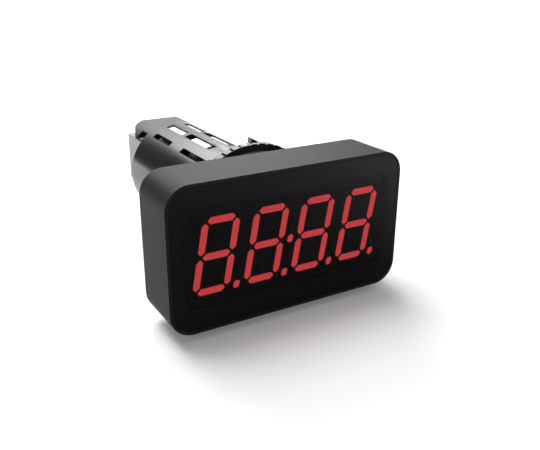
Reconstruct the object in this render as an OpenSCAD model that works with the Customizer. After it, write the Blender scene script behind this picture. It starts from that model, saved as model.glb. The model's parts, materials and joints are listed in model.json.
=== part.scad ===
// Digital panel meter for a round cut-out: a rectangular display head on a slotted, hollow
// barrel, held by a round nut, with a plug-in terminal block under a hood at the rear.
// +Y runs into the panel and +Z is up. The origin is where the barrel's axis meets the panel.

/* [Display head] */
// Width of the head
head_w = 48; // [46:0.5:60]
// Height of the head
head_h = 27; // [26:0.5:34]
// Depth of the head in front of the panel
head_d = 11; // [10.5:0.1:15]
// Radius of the head's four long corners
head_r = 4.4; // [3:0.1:5.5]
// Thickness of the head's side walls
head_wall = 1.6; // [1.4:0.1:2]
// Thickness of the wall that faces the panel
back_wall = 1.6; // [1.2:0.1:2]
// Width of the lip round the window
window_lip = 0.6; // [0.4:0.1:0.9]
// Thickness of the smoked window
window_t = 0.8; // [0.6:0.1:1.5]

/* [Barrel] */
// Outer diameter of the barrel
barrel_d = 22; // [21.6:0.1:24]
// Thickness of the barrel's wall
barrel_wall = 1.4; // [1:0.1:1.5]
// Length of the barrel behind the panel's face
barrel_l = 41.4; // [41:0.2:50]
// Angle of the inner slots from the top
inner_slot_angle = 11; // [10:0.5:14]
// Width of the inner slots
inner_slot_w = 1.9; // [1.4:0.1:2.2]
// Angle of the outer slots from the top
outer_slot_angle = 33.3; // [30:0.5:36]
// Width of the outer slots
outer_slot_w = 1.35; // [1:0.05:1.8]
// Start of the front inner slot, behind the panel's face
inner_front_y = 16.2; // [15:0.1:17]
// Length of the front inner slot
inner_front_l = 12.3; // [10:0.1:13]
// Start of the rear inner slot
inner_rear_y = 30; // [29.8:0.1:32]
// Length of the rear inner slot
inner_rear_l = 8.6; // [7:0.1:9]
// Start of the front outer slot
outer_front_y = 11.6; // [11:0.1:13]
// Length of the front outer slot
outer_front_l = 11.8; // [9:0.1:13]
// Start of the rear outer slot
outer_rear_y = 29; // [28:0.1:30]
// Length of the rear outer slot
outer_rear_l = 9.2; // [8:0.1:10]

/* [Hood] */
// Length of the hood behind the barrel
hood_l = 9.2; // [8:0.1:12]
// Height of the hood's flat top above the axis
hood_top = 10.05; // [9.8:0.05:10.5]
// Height of the hood's lower edges above the axis
hood_edge = 7.2; // [7:0.1:7.4]
// Thickness of the hood's flat top
hood_roof = 1.2; // [0.8:0.1:1.5]
// Width of the hood's rear edge
hood_rear_w = 11.6; // [10:0.1:12.4]
// Angle of the latch windows from the top
latch_angle = 41.5; // [40:0.5:43]
// Width of the latch windows
latch_w = 2.1; // [1.6:0.1:2.2]
// Length of the latch windows
latch_l = 3.3; // [2.5:0.1:4]

/* [Figures] */
// Distance from one figure to the next
figure_pitch = 9.8; // [9.6:0.1:10]
// Distance between the centre lines of a figure's upright bars
figure_w = 5.9; // [5.4:0.1:6]
// Distance between the centre lines of the top and bottom bars
figure_h = 12.7; // [11:0.1:13]
// Width of a bar
bar_w = 1.25; // [1:0.05:1.4]
// Slant of the figures in degrees
figure_slant = 10.5; // [6:0.5:12]
// Depth of the light wells
bar_depth = 1.2; // [0.8:0.1:1.6]

/* [Mounting] */
// Thickness of the sealing gasket
gasket_t = 1.9; // [1.5:0.1:2.5]
// Outer diameter of the gasket
gasket_d = 26; // [25:0.1:26.5]
// Thickness of the thrust washer
washer_t = 0.8; // [0.6:0.1:1.2]
// Outer diameter of the washer
washer_d = 26; // [25:0.1:27]
// Diameter of the nut over its serrations
nut_d = 28.7; // [28:0.1:30]
// Thickness of the nut's serrated flange
nut_flange_t = 1.7; // [1.2:0.1:2.5]
// Thickness of the nut's plain rear part
nut_rear_t = 1.4; // [1:0.1:3]
// Diameter of the nut's plain rear part
nut_rear_d = 27.3; // [26.5:0.1:27.6]
// Number of serrations round the nut
nut_teeth = 50; // [40:2:90]
// Number of ramped finger grips on the nut's rear part
nut_grips = 6; // [4:2:8]
// Diameter over the tips of the finger grips
grip_d = 30.1; // [29.4:0.1:31]

/* [Boards] */
// Thickness of both circuit boards
board_t = 1.2; // [1:0.1:1.4]
// Thickness of the carrier's rails outside the main board's edges
board_rim = 0.5; // [0.4:0.05:0.7]
// Height of the main board's upper face, from the axis
board_z = -4.45; // [-4.6:0.05:-4.3]
// Length of the main board
board_l = 41; // [40.8:0.1:41.2]
// Distance of the side columns of parts from the main board's middle
column_x = 3.4; // [3.2:0.1:3.6]
// Distance of the controller from the panel's face
controller_y = 9.5; // [9:0.1:9.6]
// Distance of the regulator and the capacitor from the panel's face
supply_y = 18.4; // [18.2:0.1:18.6]
// Distance of the shunt and the diode from the panel's face
input_y = 25.8; // [25.4:0.1:26.4]
// Width of the display block
block_w = 39.2; // [39.2:0.1:40]
// Height of the display block
block_h = 16.6; // [15.2:0.1:16.6]
// Height of the display block's feet above its board
block_foot = 0.5; // [0.3:0.1:0.7]

/* [Terminal block] */
// Number of poles
poles = 4; // [2:1:4]
// Distance from pole to pole
pole_pitch = 3.5; // [3.4:0.05:3.6]
// Height of the plug
plug_h = 11.1; // [10.9:0.1:11.2]
// Height of the plug's top face above the axis
plug_top = 6.35; // [6.1:0.05:6.4]
// Distance from the panel's face to the plug's rear face
meter_l = 54; // [53.6:0.1:58]
// Length of the plug behind its socket
plug_l = 15; // [14.6:0.1:15.2]
// Length of the plug's nose
nose_l = 7.5; // [6.5:0.1:7.8]
// Thickness of the socket's walls
socket_wall = 0.8; // [0.7:0.1:1]
// Diameter of a wire entry
wire_d = 2.1; // [1.6:0.1:2.2]
// Width and height of a contact pin
pin_w = 0.8; // [0.6:0.1:0.9]
// Height of the wire entries and contact pins, from the axis
pin_z = -0.65; // [-0.7:0.05:-0.6]

/* [Setting keys] */
// Distance of a key from the head's side
key_inset = 5.6; // [5.4:0.1:6]
// Diameter of a key
key_d = 3; // [2.4:0.1:3.4]
// Travel of a key
key_travel = 0.3; // [0.2:0.05:0.35]

/* [Clearances] */
// Gap between fixed pieces that lie side by side
gap = 0.05; // [0.03:0.01:0.1]
// Radial clearance of what slides or turns
running = 0.05; // [0.03:0.01:0.1]
// Gap between the plug's nose and its socket
nose_gap = 0.15; // [0.1:0.01:0.2]

/* [Hidden] */
$fn = 64;
eps = 0.01;                                   // overlap of solids that are joined or cut

barrel_r = barrel_d / 2;
bore_r = barrel_r - barrel_wall;
carrier_r = bore_r - 0.25;                    // outer radius of the carrier in the barrel
carrier_t = 1;
carrier_in = carrier_r - carrier_t;
front_y = -head_d;
window_gap = gap;
block_front = front_y + window_t + window_gap;
back_in = -back_wall;                         // inner face of the wall against the panel
boss_h = 1.4;
board_back = back_in - boss_h;                // rear face of the display board
board_front = board_back - board_t;
block_back = board_front - block_foot;
panel_board_w = head_w - 2 * head_wall - 1.2;
panel_board_h = head_h - 2 * head_wall - 1.2;
key_x = head_w / 2 - key_inset;

// extrusions and turned solids along Y
module prism_y(y0, y1) {
    translate([0, y1, 0]) rotate([90, 0, 0]) linear_extrude(y1 - y0) children();
}
module rod_y(r, y0, y1) {
    translate([0, y1, 0]) rotate([90, 0, 0]) cylinder(r = r, h = y1 - y0);
}
module ring_y(r_out, r_in, y0, y1) {
    difference() {
        rod_y(r_out, y0, y1);
        rod_y(r_in, y0 - 1, y1 + 1);
    }
}
module rounded(w, h, r) {
    square([w - 2 * r, h], center = true);
    square([w, h - 2 * r], center = true);
    for (x = [-1, 1], z = [-1, 1]) translate([x * (w / 2 - r), z * (h / 2 - r)]) circle(r);
}
// box given by its two opposite corners
module box(a, b) {
    translate(a) cube(b - a);
}
// box across the barrel's wall at an angle from the top, positive towards +X
module across_wall(angle, w, r0, r1, y0, y1) {
    rotate([0, angle, 0]) box([-w / 2, y0, r0], [w / 2, y1, r1]);
}

/* ---- front housing ---- */
boss_r = 1.6;
boss_x = head_w / 2 - head_wall - 2.1;
boss_z = head_h / 2 - head_wall - 2;
pilot_r = 0.72;
hood_y = barrel_l + hood_l;
hood_side = barrel_r - 2.6;                   // half width where the hood's sides begin to taper
hood_taper = 5.6;                             // length of the tapered sides
hood_nose = 0.45;                             // length of the rear corners' bevel
hood_shoulder = hood_rear_w / 2 + 0.65;
washer_y = gasket_t + 0.1;
nut_y = washer_y + washer_t + 0.1;
nut_end = nut_y + nut_flange_t + nut_rear_t;

slots = [
    [inner_slot_angle, inner_slot_w, inner_front_y, inner_front_l],
    [inner_slot_angle, inner_slot_w, inner_rear_y, inner_rear_l],
    [outer_slot_angle, outer_slot_w, outer_front_y, outer_front_l],
    [outer_slot_angle, outer_slot_w, outer_rear_y, outer_rear_l],
    [latch_angle, latch_w, barrel_l + 0.1, latch_l]];

module hood_plan() {
    polygon([[-hood_side, barrel_l - eps], [hood_side, barrel_l - eps],
        [hood_side, hood_y - hood_taper], [hood_shoulder, hood_y - hood_nose],
        [hood_rear_w / 2, hood_y], [-hood_rear_w / 2, hood_y],
        [-hood_shoulder, hood_y - hood_nose], [-hood_side, hood_y - hood_taper]]);
}
module hood() {
    difference() {
        intersection() {
            rod_y(barrel_r, barrel_l - eps, hood_y);
            translate([0, 0, hood_edge]) linear_extrude(hood_top - hood_edge) hood_plan();
        }
        intersection() {
            rod_y(bore_r, barrel_l - 1, hood_y + 1);
            box([-barrel_r, barrel_l - 1, 0], [barrel_r, hood_y + 1, hood_top - hood_roof]);
        }
    }
}
module head_shell() {
    difference() {
        prism_y(front_y, 0) rounded(head_w, head_h, head_r);
        prism_y(front_y - 1, front_y + window_t)
            rounded(head_w - 2 * window_lip, head_h - 2 * window_lip, head_r - window_lip);
        prism_y(front_y - 1, back_in)
            rounded(head_w - 2 * head_wall, head_h - 2 * head_wall, head_r - head_wall);
    }
    for (x = [-1, 1], z = [-1, 1]) translate([x * boss_x, 0, z * boss_z])
        rod_y(boss_r, board_back, back_in + eps);
}
module front_housing() {
    color("#1c1c1e") difference() {
        union() {
            head_shell();
            rotate([0, 90, 0]) rod_y(barrel_r, -eps, barrel_l);   // its seam lies at the bottom
            hood();
        }
        rod_y(bore_r, back_in - 1, barrel_l);
        ring_y(barrel_r + 1, barrel_r - 0.3, nut_end - 0.7, nut_end + 0.2);   // parts the thread's two lengths
        for (s = slots, side = [-1, 1])
            across_wall(side * s[0], s[1], bore_r - 1, barrel_r + 1, s[2], s[2] + s[3]);
        for (x = [-1, 1], z = [-1, 1]) translate([x * boss_x, 0, z * boss_z])
            rod_y(pilot_r, board_back - 1, -0.5);
        for (x = [-1, 1]) translate([x * key_x, 0, 0])
            rod_y(key_d / 2 + running, back_in - 1, 1);
    }
}
module front_window() {
    inset = 2 * (window_lip + gap);
    color("#16090a") prism_y(front_y, front_y + window_t)
        rounded(head_w - inset, head_h - inset, head_r - inset / 2);
}

/* ---- display ---- */
bar_gap = 0.35;                               // gap between neighbouring bars
bar_tip = 0.55;                               // length of a bar's pointed tip
dot_w = 1.15;
dot_h = 1.4;
function slanted(p) = [p[0] + p[1] * tan(figure_slant), p[1]];
function across(c, l, w) = [
    [c[0] - l / 2, c[1]], [c[0] - l / 2 + bar_tip, c[1] + w / 2], [c[0] + l / 2 - bar_tip, c[1] + w / 2],
    [c[0] + l / 2, c[1]], [c[0] + l / 2 - bar_tip, c[1] - w / 2], [c[0] - l / 2 + bar_tip, c[1] - w / 2]];
function upright(c, l, w) = [for (p = across([0, 0], l, w)) [c[0] + p[1], c[1] + p[0]]];
function dot(c) = let (b = 0.3) [
    [c[0] - dot_w / 2, c[1] - dot_h / 2 + b], [c[0] - dot_w / 2, c[1] + dot_h / 2 - b],
    [c[0] - dot_w / 2 + b, c[1] + dot_h / 2], [c[0] + dot_w / 2 - b, c[1] + dot_h / 2],
    [c[0] + dot_w / 2, c[1] + dot_h / 2 - b], [c[0] + dot_w / 2, c[1] - dot_h / 2 + b],
    [c[0] + dot_w / 2 - b, c[1] - dot_h / 2], [c[0] - dot_w / 2 + b, c[1] - dot_h / 2]];
across_l = figure_w - 2 * bar_gap;
upright_l = figure_h / 2 - 2 * bar_gap;
figure_bars = concat(
    [for (z = [-1, 0, 1]) across([0, z * figure_h / 2], across_l, bar_w)],
    [for (x = [-1, 1], z = [-1, 1]) upright([x * figure_w / 2, z * figure_h / 4], upright_l, bar_w)],
    [dot([figure_pitch / 2, -figure_h / 2])]);
function figure_x(i) = (i - 1.5) * figure_pitch;

// the bars and the point of one figure
module figure(i, front, back) {
    translate([figure_x(i), 0, 0]) prism_y(front, back)
        for (b = figure_bars) polygon([for (p = b) slanted(p)]);
}
module middle_dot(front, back) {
    prism_y(front, back) polygon([for (p = dot([0, 0])) slanted(p)]);
}
module digit(i) {
    color("#e03038") figure(i, block_front, block_front + bar_depth);
}
module centre_dot() {
    color("#e03038") middle_dot(block_front, block_front + bar_depth);
}
display_pin_r = 0.25;
display_pin_z = 7;
display_pin_pitch = 2.54;
display_pin_tail = 0.8;
module display_pin_places() {
    for (i = [-2.5:1:2.5], z = [-1, 1]) translate([i * display_pin_pitch, 0, z * display_pin_z]) children();
}
module led_display() {
    color("#101012") {
        difference() {
            prism_y(block_front, block_back) rounded(block_w, block_h, 0.6);
            for (i = [0:3]) figure(i, block_front - 1, block_front + bar_depth);
            middle_dot(block_front - 1, block_front + bar_depth);
        }
        for (x = [-1, 1], z = [-1, 1]) translate([x * (block_w / 2 - 2), 0, z * (block_h / 2 - 2)])
            rod_y(0.8, block_back - eps, board_front);
    }
}
module display_pins() {
    color("silver") display_pin_places() rod_y(display_pin_r, block_back, board_back + display_pin_tail);
}

/* ---- boards ---- */
board_y = board_back + 0.4;                   // front edge of the main board
board_w = 2 * (sqrt(pow(carrier_r, 2) - pow(board_z - board_t, 2)) - board_rim);
board_end = board_y + board_l;
link_pins_n = 6;
link_pitch = 2;
link_w = 0.5;
link_l = 2.5;                                 // depth and height of the link header
link_z = board_z + link_l / 2;
link_y = board_y + link_l;
link_hole_r = 0.4;
socket_y = 29.5;
socket_back = 1.5;
module link_places() {
    for (i = [0:link_pins_n - 1]) translate([(i - (link_pins_n - 1) / 2) * link_pitch, 0, 0]) children();
}
module link_pins() {
    h = link_w / 2;
    color("gold") link_places() {
        box([-h, board_front - link_w / 2, link_z - h], [h, link_y + h, link_z + h]);
        box([-h, link_y - h, board_z - board_t - link_w], [h, link_y + h, link_z + h]);
    }
}
module link_header() {
    w = link_pins_n * link_pitch / 2;
    color("#202022") difference() {
        box([-w, link_y - link_l / 2, board_z], [w, link_y + link_l / 2, board_z + link_l]);
        link_pins();
    }
}
module display_board() {
    color("#1f5a34") difference() {
        prism_y(board_front, board_back) rounded(panel_board_w, panel_board_h, head_r - head_wall - 0.6);
        display_pin_places() rod_y(display_pin_r + 0.15, board_front - 1, board_back + 1);
        link_places() translate([0, 0, link_z]) rod_y(link_hole_r, board_front - 1, board_back + 1);
        for (x = [-1, 1], z = [-1, 1]) translate([x * boss_x, 0, z * boss_z])
            rod_y(screw_r + 0.1, board_front - 1, board_back + 1);
    }
}
screw_r = 0.7;
screw_head_r = 1.45;
screw_head_h = 0.9;
module board_screws() {
    color("silver") for (x = [-1, 1], z = [-1, 1]) translate([x * boss_x, 0, z * boss_z]) {
        difference() {
            rod_y(screw_head_r, board_front - screw_head_h, board_front);
            for (a = [0, 90]) rotate([0, a, 0])
                box([-0.9, board_front - 2, -0.2], [0.9, board_front - 0.4, 0.2]);
        }
        rod_y(screw_r, board_front - eps, -0.6);
    }
}
module main_board() {
    color("#1f5a34") difference() {
        box([-board_w / 2, board_y, board_z - board_t], [board_w / 2, board_end, board_z]);
        link_places() translate([0, link_y, board_z - board_t - 1])
            cylinder(r = link_hole_r, h = board_t + 2);
        pole_places() translate([0, header_leg_y, board_z - board_t - 1])
            cylinder(r = pin_w / 2 * 1.5, h = board_t + 2);
    }
}

/* ---- parts on the boards ---- */
chip_lift = 0.1;                              // gap under a chip
lead_t = 0.15;
ic_w = 7;
ic_h = 1.2;
ic_lead_w = 0.3;
ic_reach = 1;                                 // length of a lead beside its chip
driver_w = 9.9;
driver_d = 3.9;
driver_h = 1.1;
driver_lead_w = 0.4;
driver_z = 3;
leads_a_side = 8;
// chip with a row of bent leads on two or on four sides
module chip(w, l, h, lead_w, four_sides) {
    translate([-w / 2, -l / 2, chip_lift]) cube([w, l, h - chip_lift]);
    for (side = four_sides ? [0, 90, 180, 270] : [0, 180]) rotate([0, 0, side]) {
        half = (side % 180 == 0 ? l : w) / 2;
        row = (side % 180 == 0 ? w : l) * 0.86;
        for (i = [0:leads_a_side - 1])
        translate([(i / (leads_a_side - 1) - 0.5) * row - lead_w / 2, half, 0]) {
            translate([0, -0.2, h / 2]) cube([lead_w, 0.2 + ic_reach / 2, lead_t]);
            translate([0, ic_reach / 2 - lead_t, 0]) cube([lead_w, lead_t, h / 2 + lead_t]);
            translate([0, ic_reach / 2 - lead_t, 0]) cube([lead_w, ic_reach / 2 + lead_t, lead_t]);
        }
    }
}
module on_board(x, y) {
    translate([x, y, board_z]) children();
}
// box that stands on the board, centred on the place
module block(w, l, h, y = 0, lift = 0) {
    translate([-w / 2, y - l / 2, lift]) cube([w, l, h - lift]);
}
module controller_ic() {
    color("#1a1a1a") on_board(0, controller_y) chip(ic_w, ic_w, ic_h, ic_lead_w, true);
}
module display_driver() {
    color("#1a1a1a") translate([0, board_back, driver_z]) rotate([-90, 0, 0])
        chip(driver_w, driver_d, driver_h, driver_lead_w, false);
}
regulator_w = 6.2;
regulator_l = 5.2;
regulator_h = 2.3;
tab_w = 5.2;
tab_l = 1.3;
tab_t = 0.5;
leg_w = 0.8;
leg_l = 1.6;
leg_x = 2.3;
module loop_regulator() {
    back = regulator_l / 2;
    color("#1a1a1a") on_board(-column_x, supply_y) {
        block(regulator_w, regulator_l, regulator_h, 0, chip_lift);
        block(tab_w, tab_l, tab_t, back + tab_l / 2 - eps);
        for (x = [-leg_x, leg_x]) translate([x, 0, 0]) block(leg_w, leg_l, tab_t, -back - leg_l / 2 + eps);
    }
}
can_r = 2.5;
can_h = 5.4;
can_foot_w = 5.3;
can_foot_h = 0.8;
can_edge = 0.3;
module buffer_capacitor() {
    half = can_foot_w / 2;
    neck = can_foot_h + 0.5;
    color("silver") on_board(column_x, supply_y) {
        difference() {
            block(can_foot_w, can_foot_w, can_foot_h);
            for (x = [-half, half]) translate([x, -half, 0]) rotate([0, 0, 45])
                cube([half / 2, half / 2, can_h], center = true);
        }
        rotate_extrude() polygon([[0, can_foot_h - eps], [can_r, can_foot_h - eps], [can_r, neck],
            [can_r - can_edge, neck + can_edge], [can_r, neck + 2 * can_edge], [can_r, can_h - can_edge],
            [can_r - can_edge, can_h], [0, can_h]]);
    }
}
shunt_w = 5.2;
shunt_l = 3.2;
shunt_h = 0.6;
shunt_cap = 0.7;
module input_shunt() {
    color("#1a1a1a") on_board(-column_x, input_y) {
        block(shunt_w, shunt_l, shunt_h);
        for (x = [-1, 1]) translate([x * (shunt_w + shunt_cap / 2) / 2, 0, 0])
            block(shunt_cap, shunt_l + 0.1, shunt_h + 0.05);
    }
}
diode_w = 4.4;
diode_l = 3.6;
diode_h = 2.2;
diode_foot_w = 2.2;
diode_foot_h = 0.9;
module protection_diode() {
    color("#1a1a1a") on_board(column_x, input_y) {
        block(diode_w, diode_l, diode_h, 0, chip_lift);
        for (x = [-1, 1]) translate([x * (diode_w + 0.2) / 2, 0, 0]) block(leg_w, diode_foot_w, diode_foot_h);
    }
}
chip_w = 1.6;
chip_l = 0.8;
chip_h = 0.5;
chip_pitch = 2.5;
chip_column_x = 5.6;
chip_row_y = 3.5;
module chip_parts() {
    color("#8a6f52") {
        for (i = [-2:2]) on_board(i * chip_pitch, chip_row_y) block(chip_w, chip_l, chip_h);
        for (x = [-chip_column_x, chip_column_x], i = [-1.5:1.5])
            on_board(x, controller_y - 1.2 + i * chip_pitch)
            block(chip_l, chip_w - 0.4, chip_h);
    }
}

/* ---- inner carrier with its snap hooks ---- */
carrier_front = 2;
hoop_l = 2.5;
rail_end = socket_y - 0.5;
hook_gap = 0.2;
spine_end = inner_rear_y + inner_rear_l;
rear_hoop_y = outer_rear_y - hoop_l - 1.5;
// arc of the carrier's shell, from angle a0 to a1 measured from +X towards +Z
module carrier_arc(a0, a1, y0, y1) {
    steps = ceil((a1 - a0) / 30);
    reach = 2 * carrier_r;
    intersection() {
        ring_y(carrier_r, carrier_in, y0, y1);
        prism_y(y0 - 1, y1 + 1) polygon(concat([[0, 0]],
            [for (i = [0:steps]) let (a = a0 + (a1 - a0) * i / steps) reach * [cos(a), sin(a)]]));
    }
}
module board_carrier() {
    groove = 0.05;
    hooks = [[inner_front_y + 2.3, inner_front_l - 4.8],
        [inner_rear_y + hook_gap, inner_rear_l - 2 * hook_gap]];
    color("#f2f0e8") difference() {
        union() {
            for (y = [carrier_front, rear_hoop_y], a = [-48, 90 - eps])
                carrier_arc(a, a + 138, y, y + hoop_l);
            carrier_arc(62, 118, carrier_front, spine_end);
            for (a = [-48, 199]) carrier_arc(a, a + 29, carrier_front, rail_end);
            for (h = hooks, side = [-1, 1])
                across_wall(side * inner_slot_angle, inner_slot_w - 2 * hook_gap,
                    carrier_in + 0.3, barrel_r - 0.35, h[0], h[0] + h[1]);
        }
        box([-board_w / 2 - groove, 0, board_z - board_t - groove],
            [board_w / 2 + groove, rail_end + 1, board_z + groove]);
        box([-0.5, 14, 0], [0.5, spine_end + 1, barrel_r]);
    }
}

/* ---- terminal socket and plug ---- */
plug_w = poles * pole_pitch;
plug_front = meter_l - plug_l;
plug_bottom = plug_top - plug_h;
socket_w = plug_w + 1.4;
socket_h = 7.25;
socket_end = plug_front - 0.4;
socket_in_w = socket_w - 2 * socket_wall;
header_leg_y = socket_y + socket_back / 2;
nose_front = plug_front - nose_l;
module pole_places() {
    for (i = [0:poles - 1]) at_pole(i) children();
}
module at_pole(i) {
    translate([(i - (poles - 1) / 2) * pole_pitch, 0, 0]) children();
}
module header_pins() {
    h = pin_w / 2;
    color("silver") pole_places() {
        box([-h, header_leg_y - h, pin_z - h], [h, socket_end - 1.6, pin_z + h]);
        box([-h, header_leg_y - h, board_z - board_t - 0.6], [h, header_leg_y + h, pin_z + h]);
    }
}
module terminal_header() {
    color("#e8e6dc") difference() {
        box([-socket_w / 2, socket_y, board_z], [socket_w / 2, socket_end, board_z + socket_h]);
        box([-socket_in_w / 2, socket_y + socket_back, board_z + socket_wall],
            [socket_in_w / 2, socket_end + 1, board_z + socket_h - socket_wall]);
        header_pins();
    }
}

bar_t = 0.5;                                  // thickness of the clamp's current bar
bar_z = pin_z + wire_d / 2;                   // underside of the bar, level with the top of the wire entry
cage_wall = 0.4;
cage_w = 2.7;
cage_l = 2.8;
cage_lift = 1.8;
cage_floor = pin_z - wire_d / 2 - cage_wall;
cage_top = bar_z + bar_t + 1.3;
clamp_y = meter_l - 4.4;                      // axis of the clamp screws
chamber_top = cage_top + cage_lift + 0.25;
clamp_r = 0.9;
clamp_head_r = 1.25;
clamp_head_h = 1.4;
clamp_seat = chamber_top + 0.25;
contact_w = 2;
contact_t = 0.35;
contact_front = nose_front + 0.5;
contact_back = plug_front - 0.4;

module plug_body() {
    wall = 0.3;
    chamber_w = cage_w + 2 * running;
    passage = contact_w / 2 + gap;
    nose_w = socket_in_w - 2 * nose_gap;
    color("#8f8f8c") difference() {
        union() {
            box([-plug_w / 2, plug_front, plug_bottom], [plug_w / 2, meter_l, plug_top]);
            box([-nose_w / 2, nose_front, board_z + socket_wall + nose_gap],
                [nose_w / 2, plug_front + eps, board_z + socket_h - socket_wall - nose_gap]);
        }
        pole_places() {
            translate([0, clamp_y, clamp_seat]) cylinder(r = clamp_head_r + running, h = plug_top);
            translate([0, clamp_y, 0]) cylinder(r = clamp_r + running, h = plug_top);
            box([-chamber_w / 2, clamp_y - cage_l / 2 - wall, cage_floor - wall],
                [chamber_w / 2, clamp_y + cage_l / 2 + wall, chamber_top]);
            box([-passage, nose_front - 1, pin_z - passage], [passage, clamp_y, bar_z + bar_t + gap]);
            translate([0, 0, pin_z]) {
                rod_y(wire_d / 2, clamp_y, meter_l + 1);
                translate([0, meter_l + eps, 0]) rotate([90, 0, 0])
                    cylinder(r1 = wire_d / 2 + 0.4, r2 = wire_d / 2, h = 0.6);
            }
        }
    }
}
// current bar with a square sleeve that grips the header's pin
module plug_contacts() {
    w = contact_w / 2;
    hole = w - contact_t;
    bar_half = cage_w / 2 - cage_wall - 0.1;
    color("goldenrod") pole_places() difference() {
        union() {
            box([-w, contact_front, pin_z - w], [w, contact_back, pin_z + w]);
            box([-w, contact_back - 0.5, pin_z - w], [w, contact_back, bar_z + bar_t]);
            box([-bar_half, contact_back - 0.5, bar_z], [bar_half, clamp_y + cage_l / 2, bar_z + bar_t]);
        }
        box([-hole, contact_front - 1, pin_z - hole], [hole, contact_back - 0.5 + eps, pin_z + hole]);
    }
}
module clamp_screw(i) {
    color("silver") at_pole(i) translate([0, clamp_y, 0]) difference() {
        union() {
            translate([0, 0, bar_z + bar_t + 0.1]) cylinder(r = clamp_r, h = clamp_seat - bar_z - bar_t);
            translate([0, 0, clamp_seat + 0.02]) cylinder(r = clamp_head_r, h = clamp_head_h);
        }
        translate([-2, -0.2, clamp_seat + clamp_head_h - 0.7]) cube([4, 0.4, 1]);
    }
}
module clamp_cage(i) {
    color("silver") at_pole(i) translate([0, clamp_y, 0]) difference() {
        box([-cage_w / 2, -cage_l / 2, cage_floor], [cage_w / 2, cage_l / 2, cage_top]);
        box([-cage_w / 2 + cage_wall, -cage_l, cage_floor + cage_wall],
            [cage_w / 2 - cage_wall, cage_l, cage_top - cage_wall]);
        cylinder(r = clamp_r + 0.03, h = cage_top + 1);
    }
}

/* ---- setting keys ---- */
key_flange_r = key_d / 2 + 0.6;
key_flange_t = 0.4;
key_nib_r = 0.75;
switch_w = 3.6;
switch_h = 0.55;
module setting_key(side) {
    flange = back_in - 0.1;
    color("#2a2a2c") translate([side * key_x, 0, 0]) {
        rod_y(key_d / 2, flange - eps, -0.3);
        rod_y(key_flange_r, flange - key_flange_t, flange);
        rod_y(key_nib_r, board_back + switch_h - 0.15, flange - key_flange_t + eps);
    }
}
module key_switches() {
    color("#3c3c40") for (x = [-1, 1]) translate([x * key_x, 0, 0]) difference() {
        box([-switch_w / 2, board_back, -switch_w / 2], [switch_w / 2, board_back + switch_h, switch_w / 2]);
        rod_y(key_nib_r + running, board_back + switch_h - 0.15 - key_travel - 0.05, board_back + 1);
    }
}

/* ---- fastening behind the panel ---- */
tooth_h = 0.22;
module sealing_gasket() {
    color("#141414") ring_y(gasket_d / 2, barrel_r + gap, 0, gasket_t);
}
module thrust_washer() {
    color("#26262a") ring_y(washer_d / 2, barrel_r + running, washer_y, washer_y + washer_t);
}
module nut_outline() {
    r = nut_d / 2;
    pitch = 360 / nut_teeth;
    polygon([for (i = [0:nut_teeth - 1], t = [[0, 0], [0.16, 1], [0.5, 1], [0.84, 1]])
        let (a = (i + t[0]) * pitch, q = r - tooth_h * (1 - t[1])) q * [cos(a), sin(a)]]);
}
// one grip: a flat ramp that rises out of the collar to a step
module grip_outline() {
    r = nut_rear_d / 2;
    foot = r - 0.15;
    g = acos(foot / (grip_d / 2));
    polygon([[grip_d / 2, 0], [r - 1, 0], (r - 1) * [cos(g), -sin(g)], foot * [cos(g), -sin(g)]]);
}
module fixing_nut() {
    rear = nut_y + nut_flange_t;
    color("#1e1e20") difference() {
        union() {
            prism_y(nut_y, rear) nut_outline();
            rod_y(nut_rear_d / 2, rear - eps, nut_end);
            for (i = [0:nut_grips - 1]) rotate([0, -88.6 - i * 360 / nut_grips, 0])
                prism_y(rear - eps, nut_end) grip_outline();
        }
        rod_y(barrel_r + running, nut_y - 1, nut_end + 1);
    }
}

front_housing();
front_window();
led_display();
digit(0);  // digit_1
digit(1);  // digit_2
digit(2);  // digit_3
digit(3);  // digit_4
centre_dot();
display_pins();
display_board();
board_screws();
setting_key(-1);  // setting_key_left
setting_key(1);  // setting_key_right
key_switches();
display_driver();
main_board();
link_header();
link_pins();
controller_ic();
loop_regulator();
buffer_capacitor();
input_shunt();
protection_diode();
chip_parts();
board_carrier();
terminal_header();
header_pins();
plug_body();
plug_contacts();
clamp_screw(0);  // clamp_screw_1
clamp_screw(1);  // clamp_screw_2
clamp_screw(2);  // clamp_screw_3
clamp_screw(3);  // clamp_screw_4
clamp_cage(0);  // clamp_cage_1
clamp_cage(1);  // clamp_cage_2
clamp_cage(2);  // clamp_cage_3
clamp_cage(3);  // clamp_cage_4
sealing_gasket();
thrust_washer();
fixing_nut();
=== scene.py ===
import bpy
import json
import math
from mathutils import Matrix, Vector


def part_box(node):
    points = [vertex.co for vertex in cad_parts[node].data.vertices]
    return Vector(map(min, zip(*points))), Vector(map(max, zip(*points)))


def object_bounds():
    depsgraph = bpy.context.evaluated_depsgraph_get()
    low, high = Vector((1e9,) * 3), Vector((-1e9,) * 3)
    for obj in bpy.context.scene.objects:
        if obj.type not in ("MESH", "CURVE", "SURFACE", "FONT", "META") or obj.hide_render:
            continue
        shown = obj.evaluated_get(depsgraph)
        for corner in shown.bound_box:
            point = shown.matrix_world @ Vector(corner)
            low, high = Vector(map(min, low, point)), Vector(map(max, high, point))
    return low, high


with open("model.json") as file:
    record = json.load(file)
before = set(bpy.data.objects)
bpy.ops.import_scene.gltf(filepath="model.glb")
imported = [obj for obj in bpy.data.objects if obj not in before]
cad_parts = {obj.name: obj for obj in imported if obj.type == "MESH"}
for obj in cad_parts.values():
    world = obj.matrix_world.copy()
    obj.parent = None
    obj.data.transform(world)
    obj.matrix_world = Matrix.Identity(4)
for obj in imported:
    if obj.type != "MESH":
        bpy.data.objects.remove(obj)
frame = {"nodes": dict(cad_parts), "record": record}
nodes = frame["nodes"]
record = frame["record"]
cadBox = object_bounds()
scene = bpy.context.scene
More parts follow.
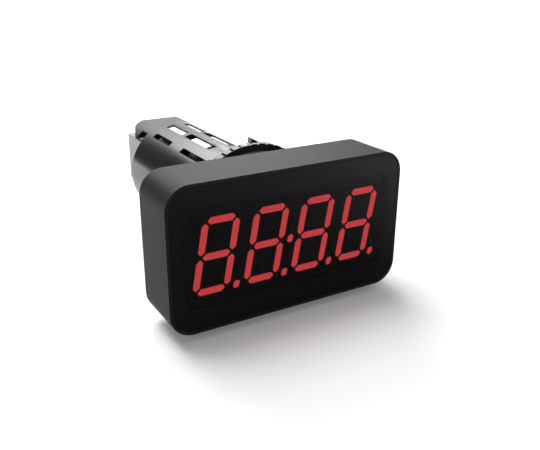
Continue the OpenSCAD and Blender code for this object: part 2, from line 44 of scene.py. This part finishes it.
mm = 0.001
print("frame loaded:", len(nodes), "nodes")


# camera

cameraSet = {
    "azimuth": -30.716,    # degrees round the object, 0 looks along +Y
    "elevation": 21.468,   # degrees above the horizon
    "roll": 0.309,         # degrees
    "lens": 44.914,        # mm, on a sensor 36 mm wide
    "distance": 120.037,   # mm along the view to the centre of the display's face
    "left": 4.055,         # mm that the camera stands to the left of that centre
    "above": 2.646,        # mm that it stands above it
}


def lookAxes(azimuth, elevation, roll=0.0):
    a, e, r = (math.radians(v) for v in (azimuth, elevation, roll))
    ahead = Vector((-math.sin(a) * math.cos(e), math.cos(a) * math.cos(e), -math.sin(e)))
    right = ahead.cross(Vector((0, 0, 1))).normalized()
    up = right.cross(ahead)
    return (math.cos(r) * right + math.sin(r) * up, math.cos(r) * up - math.sin(r) * right, ahead)


def makeCamera(look):
    right, up, ahead = lookAxes(look["azimuth"], look["elevation"], look["roll"])
    faceCentre = Vector((0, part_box("front_housing")[0].y, 0))
    data = bpy.data.cameras.new("camera")
    data.sensor_width = 36
    data.lens = look["lens"]
    data.clip_start = 0.005
    data.clip_end = 20
    camera = bpy.data.objects.new("camera", data)
    scene.collection.objects.link(camera)
    place = faceCentre + mm * (look["above"] * up - look["left"] * right - look["distance"] * ahead)
    turn = Matrix((right, up, -ahead)).transposed()
    camera.matrix_world = Matrix.Translation(place) @ turn.to_4x4()
    scene.camera = camera


makeCamera(cameraSet)
print("camera set")


# shader maths: a wrapped socket that takes part in plain expressions

class Wire:
    def __init__(self, graph, socket):
        self.graph = graph
        self.socket = socket

    def math(self, operation, first, second=None):
        values = {0: first} if second is None else {0: first, 1: second}
        return self.graph.add("ShaderNodeMath", {"operation": operation}, values)

    def __add__(self, other):
        return self.math("ADD", self, other)

    def __radd__(self, other):
        return self.math("ADD", other, self)

    def __sub__(self, other):
        return self.math("SUBTRACT", self, other)

    def __rsub__(self, other):
        return self.math("SUBTRACT", other, self)

    def __mul__(self, other):
        return self.math("MULTIPLY", self, other)

    def larger(self, other):
        return self.math("MAXIMUM", self, other)

    def __gt__(self, other):
        return self.math("GREATER_THAN", self, other)

    def __lt__(self, other):
        return self.math("LESS_THAN", self, other)


class Graph:
    def __init__(self, tree):
        self.tree = tree
        tree.nodes.clear()

    def add(self, kind, settings=None, values=None, output=0):
        node = self.tree.nodes.new(kind)
        for name, value in (settings or {}).items():
            if name == "stops":
                self.fillRamp(node.color_ramp, value)
            else:
                setattr(node, name, value)
        for key, value in (values or {}).items():
            socket = node.inputs[key]
            if isinstance(value, Wire):
                self.tree.links.new(value.socket, socket)
            else:
                socket.default_value = value
        return Wire(self, node.outputs[output]) if node.outputs else node

    def fillRamp(self, ramp, stops):
        while len(ramp.elements) < len(stops):
            ramp.elements.new(1.0)
        for element, (place, level) in zip(ramp.elements, sorted(stops)):
            element.position = place
            element.color = (level, level, level, 1)

    def place(self):
        return self.add("ShaderNodeTexCoord", output="Object")

    def axis(self, name):
        return self.add("ShaderNodeSeparateXYZ", values={0: self.place()}, output=name)

    def noise(self, scale, detail):
        return self.add("ShaderNodeTexNoise", output="Fac", values={
            "Vector": self.place(), "Scale": scale, "Detail": detail, "Roughness": 0.55})

    def ramp(self, value, stops):
        return self.add("ShaderNodeValToRGB", {"stops": stops}, {"Fac": value})

    def steps(self, value, stops):
        low, high = stops[0][0], stops[-1][0]
        level = self.add("ShaderNodeMapRange", values={"Value": value, "From Min": low, "From Max": high})
        return self.ramp(level, [((place - low) / (high - low), shade) for place, shade in stops])

    def blend(self, mask, first, second):
        return self.add("ShaderNodeMix", {"data_type": "RGBA"}, {0: mask, 6: first, 7: second}, 2)

    def distance(self, first, second):
        return self.add("ShaderNodeMath", {"operation": "SQRT"}, {0: first * first + second * second})

    def bump(self, height, depth):
        return self.add("ShaderNodeBump", values={"Height": height, "Distance": depth, "Strength": 1.0})

    def principled(self, colour, made):
        return self.add("ShaderNodeBsdfPrincipled", values={"Base Color": rgb(colour), **made})


def rgb(colour, scale=1.0):
    return tuple(scale * c for c in colour) + (1.0,)


slotColour = {m["slot"]: m["base_color"] for m in record["materials"]}
finishes = {}


def finish(slotName):
    def keep(build):
        material = bpy.data.materials.new(slotName)
        material.use_nodes = True
        graph = Graph(material.node_tree)
        made = build(graph, slotColour[slotName])
        shader = made if isinstance(made, Wire) else graph.principled(slotColour[slotName], made)
        graph.add("ShaderNodeOutputMaterial", values={"Surface": shader})
        finishes[slotName] = material
        return build
    return keep


# moulded plastics

mouldSet = {
    "barrelStart": 0.0,        # m, the barrel is glossier than the head in front of it
    "head": {"Roughness": 0.55, "Specular IOR Level": 0.13},
    "barrel": {"Roughness": 0.23, "Specular IOR Level": 0.5},
    "lip": {"Roughness": 0.6, "Specular IOR Level": 0.3},
    "lipDepth": 0.3 * mm,      # the matt lip round the window
    "shade": (0.35, 0.5),      # share of the slot's colour, from patch to patch
    "lipShade": 0.3,
    "patchScale": 90.0,        # per metre
    "grainScale": 5200.0,      # spark-eroded grain of the head
    "grainDepth": 0.006 * mm,
    "threadPitch": 1.5 * mm,
    "threadDepth": 0.005 * mm,
    "threadFrom": 3.0 * mm,
    "threadTo": 40.5 * mm,
    "threadInside": 10.8 * mm,
}


def grainyPlastic(graph, colour, rough, grainScale=4000.0, depth=0.008 * mm, spread=0.25):
    grain = graph.noise(grainScale, 2.0)
    patches = graph.noise(120.0, 3.0)
    return {
        "Base Color": graph.blend(patches, rgb(colour, 1 - spread / 2), rgb(colour, 1 + spread / 2)),
        "Roughness": rough - 0.04 + patches * 0.08,
        "Normal": graph.bump(grain, depth),
    }


@finish("housing_black")
def housingBlack(graph, colour):
    made = mouldSet
    x, y, z = (graph.axis(n) for n in "XYZ")
    onBarrel = y > made["barrelStart"]
    radius = graph.distance(x, z)
    turn = graph.add("ShaderNodeMath", {"operation": "ARCTAN2"}, {0: x, 1: z})
    thread = graph.add("ShaderNodeMath", {"operation": "PINGPONG"},
                       {0: y + turn * (made["threadPitch"] / math.tau), 1: made["threadPitch"] / 2})
    ridge = thread * (2 / made["threadPitch"])
    threaded = (y > made["threadFrom"]) * (y < made["threadTo"]) * (radius > made["threadInside"])
    patches = graph.noise(made["patchScale"], 3.0)
    shade = graph.blend(patches, *(rgb(colour, share) for share in made["shade"]))
    grain = graph.bump(graph.noise(made["grainScale"], 2.0), made["grainDepth"])
    relief = graph.bump(ridge * threaded, made["threadDepth"])
    head = graph.principled(colour, {"Base Color": shade, "Normal": grain, **made["head"]})
    barrel = graph.principled(colour, {"Base Color": shade, "Normal": relief, **made["barrel"]})
    lip = graph.principled(colour, {"Base Color": rgb(colour, made["lipShade"]), **made["lip"]})
    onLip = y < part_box("front_housing")[0].y + made["lipDepth"]
    front = graph.add("ShaderNodeMixShader", values={0: onLip, 1: head, 2: lip})
    return graph.add("ShaderNodeMixShader", values={0: onBarrel, 1: front, 2: barrel})


nutPaintedShade = 0.35    # painted shade: the nut's colour is darkened, as it stands in the shade of the head


@finish("nut_black")
def nutBlack(graph, colour):
    # painted shade: the nut's colour is scaled darker for the shade of the head
    return grainyPlastic(graph, [c * nutPaintedShade for c in colour], 0.3)


@finish("washer_black")
def washerBlack(graph, colour):
    return grainyPlastic(graph, colour, 0.38)


@finish("key_grey")
def keyGrey(graph, colour):
    return grainyPlastic(graph, colour, 0.45)


@finish("switch_grey")
def switchGrey(graph, colour):
    return grainyPlastic(graph, colour, 0.5)


@finish("header_black")
def headerBlack(graph, colour):
    return grainyPlastic(graph, colour, 0.45)


carrierSet = {
    "hooksFrom": 9.8 * mm,     # radius past which only the snap hooks reach
    "paintedShadeDeep": 0.06,            # painted shade: the deep parts hardly get light, so they are coloured dark
}


@finish("carrier_white")
def carrierWhite(graph, colour):
    made = grainyPlastic(graph, colour, 0.42, spread=0.05)
    x, z = (graph.axis(n) for n in "XZ")
    radius = graph.distance(x, z)
    onHooks = radius > carrierSet["hooksFrom"]
    # painted shade: within the hooks' radius the carrier is coloured dark for the shade there
    made["Base Color"] = graph.blend(onHooks, rgb(colour, carrierSet["paintedShadeDeep"]), made["Base Color"])
    return made


@finish("socket_white")
def socketWhite(graph, colour):
    return grainyPlastic(graph, colour, 0.45, spread=0.05)


@finish("plug_grey")
def plugGrey(graph, colour):
    return grainyPlastic(graph, colour, 0.42, spread=0.08)


@finish("gasket_rubber")
def gasketRubber(graph, colour):
    made = grainyPlastic(graph, colour, 0.72, 2600.0, 0.02 * mm)
    made["Specular IOR Level"] = 0.35
    return made


# display

windowSet = {
    "margin": 2.6 * mm,        # the clear field ends this far past the figures
    "soft": 1.6 * mm,          # and fades out over this length
    "clear": 0.2,              # share of the light that passes each surface there
    "shade": (0.8, 1.1),       # share of the slot's colour, from patch to patch
    "tintScale": 60.0,
    "rough": 0.32,
    "shine": 0.28,
}


@finish("window_smoke")
def windowSmoke(graph, colour):
    made = windowSet
    x, z = (graph.axis(n) for n in "XZ")
    low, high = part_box("digit_1")[0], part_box("digit_4")[1]
    past = (low.x - x).larger(x - high.x).larger((low.z - z).larger(z - high.z))
    inField = graph.add("ShaderNodeClamp", values={
        "Value": (made["margin"] - past) * (1 / made["soft"])})
    tint = graph.noise(made["tintScale"], 2.0)
    return {
        "Base Color": graph.blend(tint, *(rgb(colour, share) for share in made["shade"])),
        "Roughness": made["rough"],
        "Alpha": 1 - inField * made["clear"],   # opaque where its back is printed black
        "Specular IOR Level": made["shine"],
    }


displayPaintedLight = 6    # painted light: lighter than its slot's colour, to make up for the shade it gets behind the window


@finish("display_black")
def displayBlack(graph, colour):
    # painted light: the display's colour is raised to make up for the shade behind the window
    return grainyPlastic(graph, [c * displayPaintedLight for c in colour], 0.35)


figureSet = {
    "glow": ((0.95, 0.075, 0.085), (1.0, 0.095, 0.105)),
    "glowScale": 700.0,
    "strength": 12.0,          # strong, since two tinted surfaces lie in front
    "rough": 0.45,
}


@finish("figure_red")
def figureRed(graph, colour):
    made = figureSet
    patches = graph.noise(made["glowScale"], 2.0)
    return {
        "Roughness": made["rough"],
        "Emission Color": graph.blend(patches, *(rgb(glow) for glow in made["glow"])),
        "Emission Strength": made["strength"],
    }


# metals

def plainMetal(graph, colour, rough, scale=900.0, depth=0.004 * mm):
    wear = graph.noise(scale, 4.0)
    return {
        "Base Color": graph.blend(wear, rgb(colour, 0.88), rgb(colour, 1.05)),
        "Metallic": 1.0,
        "Roughness": rough - 0.08 + wear * 0.16,
        "Normal": graph.bump(wear, depth),
    }


@finish("pin_metal")
def pinMetal(graph, colour):
    return plainMetal(graph, colour, 0.25)


@finish("screw_steel")
def screwSteel(graph, colour):
    return plainMetal(graph, colour, 0.32)


@finish("gold")
def gold(graph, colour):
    return plainMetal(graph, colour, 0.25)


@finish("can_aluminium")
def canAluminium(graph, colour):
    return plainMetal(graph, colour, 0.3)


@finish("contact_bronze")
def contactBronze(graph, colour):
    return plainMetal(graph, colour, 0.3)


# boards and their parts

@finish("board_green")
def boardGreen(graph, colour):
    weave = graph.noise(1500.0, 2.0)
    return {
        "Base Color": graph.blend(weave, rgb(colour, 0.8), rgb(colour, 1.2)),
        "Roughness": 0.3 + weave * 0.1,
        "Normal": graph.bump(weave, 0.01 * mm),
    }


@finish("chip_black")
def chipBlack(graph, colour):
    return grainyPlastic(graph, colour, 0.55)


@finish("ceramic")
def ceramic(graph, colour):
    return grainyPlastic(graph, colour, 0.4)


def dressNodes():
    for part in record["subparts"]:
        node = nodes[part["node"]]
        node.data.materials.clear()
        node.data.materials.append(finishes[part["material_slot"]])


dressNodes()
print("materials on", len(record["subparts"]), "nodes")


# studio

studioSet = {
    "floorSize": 3.0,        # m
    "floorColour": 0.9,
    "floorLift": ((0.0, 0.12), (0.1, 0.12), (0.35, 1.0)),  # glow for the camera, by distance in m
    "dome": 0.3,
    "lights": {
        "overhead": {"azimuth": -20, "elevation": 68, "distance": 0.5, "size": (0.3, 0.3), "power": 2.2},
        "rear": {"azimuth": 4, "elevation": 38, "distance": 0.55, "size": (0.44, 0.22), "power": 1.7},
        "rim": {"azimuth": 30, "elevation": 24, "distance": 0.5, "size": (0.10, 0.06), "power": 0.25},
    },
    # a dark card that only reflections see, for the dark band along the barrel's side
    "flag": {"azimuth": -37, "elevation": 14, "distance": 0.3, "size": (0.26, 0.17)},
    # painted reflection: the floor that the front face mirrors is painted black for reflections up to
    # here, in m to the right
    "paintedMirroredShade": ((0.0, 1.0), (0.03, 1.0), (0.12, 0.0)),
}


def direction(azimuth, elevation):
    a, e = math.radians(azimuth), math.radians(elevation)
    return Vector((math.sin(a) * math.cos(e), math.cos(a) * math.cos(e), math.sin(e)))


def makeLight(name, given):
    data = bpy.data.lights.new(name, "AREA")
    data.shape = "RECTANGLE"
    data.size, data.size_y = given["size"]
    data.energy = given["power"]
    lamp = bpy.data.objects.new(name, data)
    scene.collection.objects.link(lamp)
    aim(lamp, given)
    lamp.visible_camera = False


def aim(thing, given):
    away = direction(given["azimuth"], given["elevation"])
    thing.location = away * given["distance"]
    thing.rotation_euler = away.to_track_quat("Z", "Y").to_euler()


def flatSheet(name, width, depth, height, shade):
    mesh = bpy.data.meshes.new(name)
    corners = [(x * width / 2, y * depth / 2, height) for x, y in ((-1, -1), (1, -1), (1, 1), (-1, 1))]
    mesh.from_pydata(corners, [], [(0, 1, 2, 3)])
    sheet = bpy.data.objects.new(name, mesh)
    scene.collection.objects.link(sheet)
    material = bpy.data.materials.new(name)
    material.use_nodes = True
    graph = Graph(material.node_tree)
    graph.add("ShaderNodeOutputMaterial", values={"Surface": shade(graph)})
    mesh.materials.append(material)
    return sheet


def makeFlag(given):
    flag = flatSheet("flag", *given["size"], 0, lambda graph: graph.add(
        "ShaderNodeEmission", values={"Color": (0, 0, 0, 1), "Strength": 0.0}))
    aim(flag, given)
    flag.visible_camera = False
    flag.visible_diffuse = False
    flag.visible_shadow = False
    flag.visible_transmission = False


def seenRays(graph):
    path = graph.add("ShaderNodeLightPath", output="Is Camera Ray")
    glossy = Wire(graph, path.socket.node.outputs["Is Glossy Ray"])
    through = Wire(graph, path.socket.node.outputs["Is Transmission Ray"])
    return path.larger(glossy.larger(through))


def makeWorld(level):
    world = bpy.data.worlds.new("studio")
    world.use_nodes = True
    scene.world = world
    graph = Graph(world.node_tree)
    seen = seenRays(graph)
    shade = graph.add("ShaderNodeBackground", values={
        "Color": (1, 1, 1, 1), "Strength": level + seen * (1 - level)})
    graph.add("ShaderNodeOutputWorld", values={"Surface": shade})


def makeFloor(given):
    def shade(graph):
        x, y = (graph.axis(n) for n in "XY")
        far = graph.distance(x, y)
        glossy = graph.add("ShaderNodeLightPath", output="Is Glossy Ray")
        matt = graph.add("ShaderNodeBsdfDiffuse", values={"Color": rgb((1, 1, 1), given["floorColour"])})
        glow = graph.add("ShaderNodeEmission", values={
            "Color": (1, 1, 1, 1), "Strength": seenRays(graph) * graph.steps(far, given["floorLift"])})
        lit = graph.add("ShaderNodeAddShader", values={0: matt, 1: glow})
        dark = graph.add("ShaderNodeEmission", values={"Color": (0, 0, 0, 1), "Strength": 0.0})
        # painted reflection: glossy rays see the floor in front of the head as black, fading out to the
        # right
        front = glossy * (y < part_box("front_housing")[0].y) * graph.steps(x, given["paintedMirroredShade"])
        return graph.add("ShaderNodeMixShader", values={0: front, 1: lit, 2: dark})
    flatSheet("floor", given["floorSize"], given["floorSize"], cadBox[0].z, shade)


for name, given in studioSet["lights"].items():
    makeLight(name, given)
makeWorld(studioSet["dome"])
makeFloor(studioSet)
makeFlag(studioSet["flag"])
scene.view_settings.view_transform = "Standard"
print("studio ready")
